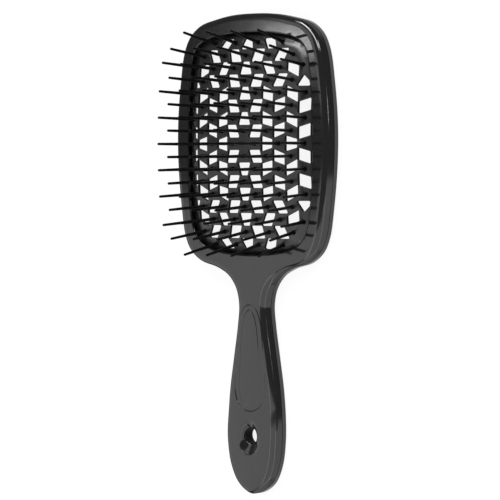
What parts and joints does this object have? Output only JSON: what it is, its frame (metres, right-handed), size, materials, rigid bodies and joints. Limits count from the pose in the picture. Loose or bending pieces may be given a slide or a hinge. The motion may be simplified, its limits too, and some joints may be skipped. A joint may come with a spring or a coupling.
{
  "type": "hair brush",
  "caption": "Vented hair brush with a ring-shaped head, a domed lattice pad with slim moulded pins, and a flat waisted handle with a hanging hole.",
  "frame": {"origin": "under the middle of the brush's overall box, on the surface it lies on", "axes": "+Y along the brush from the handle's end to the head's top, +Z the way the pins point, +X across the head to the right when seen from the pins' side with the head up"},
  "size_m": [0.0886, 0.2222, 0.036],
  "materials": {
    "shell": "glossy black moulded plastic, bare of any lettering",
    "pad": "satin black flexible plastic",
    "pins": "satin black plastic, rounded tips"
  },
  "bodies": {
    "root": {"front_shell": "shell", "back_cover": "shell", "lattice_pad": "pad", "pin_rows_01_02": "pins", "pin_rows_03_04": "pins", "pin_rows_05_06": "pins", "pin_rows_07_08": "pins", "pin_rows_09_10": "pins", "pin_rows_11_12": "pins", "pin_rows_13_14": "pins", "pin_rows_15_17": "pins"}
  },
  "joints": []
}
